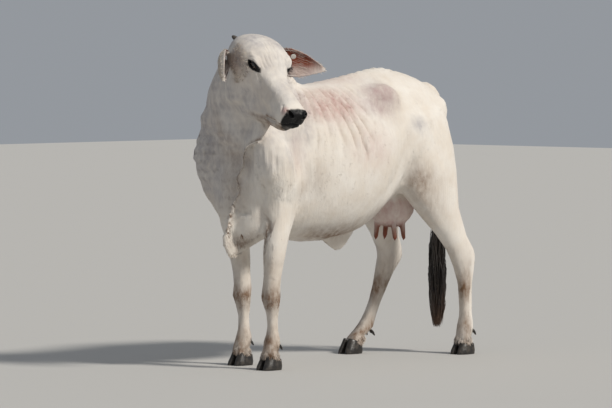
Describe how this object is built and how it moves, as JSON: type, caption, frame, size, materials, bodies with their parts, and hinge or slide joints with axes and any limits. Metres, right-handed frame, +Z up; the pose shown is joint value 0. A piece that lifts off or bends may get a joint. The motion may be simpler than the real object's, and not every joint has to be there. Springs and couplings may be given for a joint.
{
  "type": "nelore cow, still life-size model",
  "caption": "Life-size still model of a white Nelore cow standing with its head turned to its left, in named body parts.",
  "frame": {"origin": "on the floor under the middle of the cow's bounding box", "axes": "+X from the tail toward the chest, +Y to the cow's left, +Z up"},
  "size_m": [1.8746, 0.8101, 1.5964],
  "materials": {
    "coat": "short white fur lying flat, grey in the hollows",
    "muzzle_skin": "bare black skin, slightly moist",
    "bare_skin": "thin bare skin, pinkish on the udder and dark red-brown on the teats",
    "ear_skin": "white fur outside, orange-brown skin inside",
    "eye": "wet and nearly black",
    "horn": "dull dark horn",
    "hoof": "dull dark horn, faintly ringed",
    "switch_hair": "long black hair with brown tips",
    "ear_tag": "plain white plastic, slightly worn"
  },
  "bodies": {
    "root": {"barrel": "coat", "chest": "coat", "claw_fore_left_inner": "hoof", "claw_fore_left_outer": "hoof", "claw_fore_right_inner": "hoof", "claw_fore_right_outer": "hoof", "claw_hind_left_inner": "hoof", "claw_hind_left_outer": "hoof", "claw_hind_right_inner": "hoof", "claw_hind_right_outer": "hoof", "dewclaw_fore_left_inner": "hoof", "dewclaw_fore_left_outer": "hoof", "dewclaw_fore_right_inner": "hoof", "dewclaw_fore_right_outer": "hoof", "dewclaw_hind_left_inner": "hoof", "dewclaw_hind_left_outer": "hoof", "dewclaw_hind_right_inner": "hoof", "dewclaw_hind_right_outer": "hoof", "dewlap_brisket": "coat", "dewlap_neck": "coat", "ear_left": "ear_skin", "ear_right": "ear_skin", "eye_left": "eye", "eye_right": "eye", "fore_cannon_left": "coat", "fore_cannon_right": "coat", "forearm_left": "coat", "forearm_right": "coat", "gaskin_left": "coat", "gaskin_right": "coat", "head": "coat", "hind_cannon_left": "coat", "hind_cannon_right": "coat", "horn_left": "horn", "horn_right": "horn", "hump": "coat", "lower_jaw": "coat", "muzzle": "muzzle_skin", "navel_flap": "coat", "neck": "coat", "rump": "coat", "tail_lower": "coat", "tail_switch": "switch_hair", "tail_upper": "coat", "teat_fore_left": "bare_skin", "teat_fore_right": "bare_skin", "teat_hind_left": "bare_skin", "teat_hind_right": "bare_skin", "thigh_left": "coat", "thigh_right": "coat", "udder": "bare_skin", "ear_tag": "ear_tag"}
  },
  "joints": []
}
